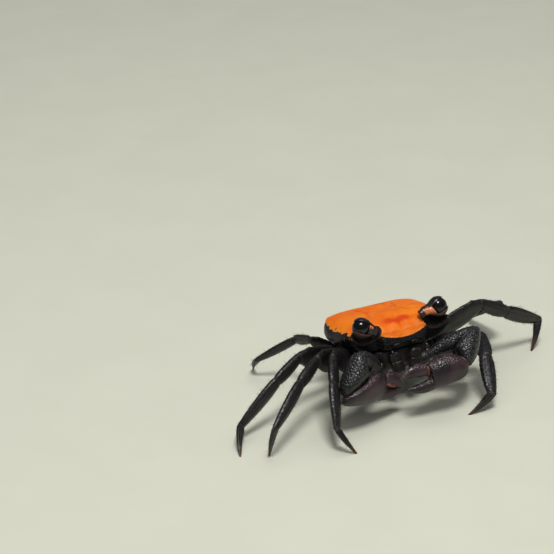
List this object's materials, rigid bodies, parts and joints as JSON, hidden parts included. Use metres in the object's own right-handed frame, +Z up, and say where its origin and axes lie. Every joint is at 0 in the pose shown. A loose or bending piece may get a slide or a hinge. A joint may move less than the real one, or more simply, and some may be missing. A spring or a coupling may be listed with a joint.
{
  "type": "vampire crab model",
  "caption": "Life-size still model of a small land crab standing on its walking legs, claws folded before its face and stalked eyes raised.",
  "frame": {"origin": "middle of the bounding box at floor level, under the crab", "axes": "+X is the crab's left side, -Y is the way it faces, +Z is up"},
  "size_m": [0.0662, 0.0458, 0.0186],
  "materials": {
    "shell": "orange shield, satin gloss, finely mottled with dark jagged margins",
    "underside": "near-black shell, satin, finely granular",
    "leg_shell": "near-black with a purple cast, satin, specks of highlight",
    "claw_shell": "dark purple-brown, satin, granular along the ridges",
    "cornea": "glossy black eye",
    "stalk": "pinkish orange skin, satin",
    "mouth": "olive brown shell, satin"
  },
  "bodies": {
    "root": {"antenna_left": "underside", "antenna_right": "underside", "carapace": "shell", "claw_left_carpus": "leg_shell", "claw_left_finger": "claw_shell", "claw_left_merus": "leg_shell", "claw_left_palm": "claw_shell", "claw_right_carpus": "leg_shell", "claw_right_finger": "claw_shell", "claw_right_merus": "leg_shell", "claw_right_palm": "claw_shell", "eye_left": "cornea", "eye_right": "cornea", "eyestalk_left": "stalk", "eyestalk_right": "stalk", "leg_left_2_carpus": "leg_shell", "leg_left_2_dactyl": "leg_shell", "leg_left_2_merus": "leg_shell", "leg_left_2_propodus": "leg_shell", "leg_left_3_carpus": "leg_shell", "leg_left_3_dactyl": "leg_shell", "leg_left_3_merus": "leg_shell", "leg_left_3_propodus": "leg_shell", "leg_left_4_carpus": "leg_shell", "leg_left_4_dactyl": "leg_shell", "leg_left_4_merus": "leg_shell", "leg_left_4_propodus": "leg_shell", "leg_left_5_carpus": "leg_shell", "leg_left_5_dactyl": "leg_shell", "leg_left_5_merus": "leg_shell", "leg_left_5_propodus": "leg_shell", "leg_right_2_carpus": "leg_shell", "leg_right_2_dactyl": "leg_shell", "leg_right_2_merus": "leg_shell", "leg_right_2_propodus": "leg_shell", "leg_right_3_carpus": "leg_shell", "leg_right_3_dactyl": "leg_shell", "leg_right_3_merus": "leg_shell", "leg_right_3_propodus": "leg_shell", "leg_right_4_carpus": "leg_shell", "leg_right_4_dactyl": "leg_shell", "leg_right_4_merus": "leg_shell", "leg_right_4_propodus": "leg_shell", "leg_right_5_carpus": "leg_shell", "leg_right_5_dactyl": "leg_shell", "leg_right_5_merus": "leg_shell", "leg_right_5_propodus": "leg_shell", "maxilliped_left": "mouth", "maxilliped_right": "mouth", "pleon": "underside", "thorax": "underside"}
  },
  "joints": []
}
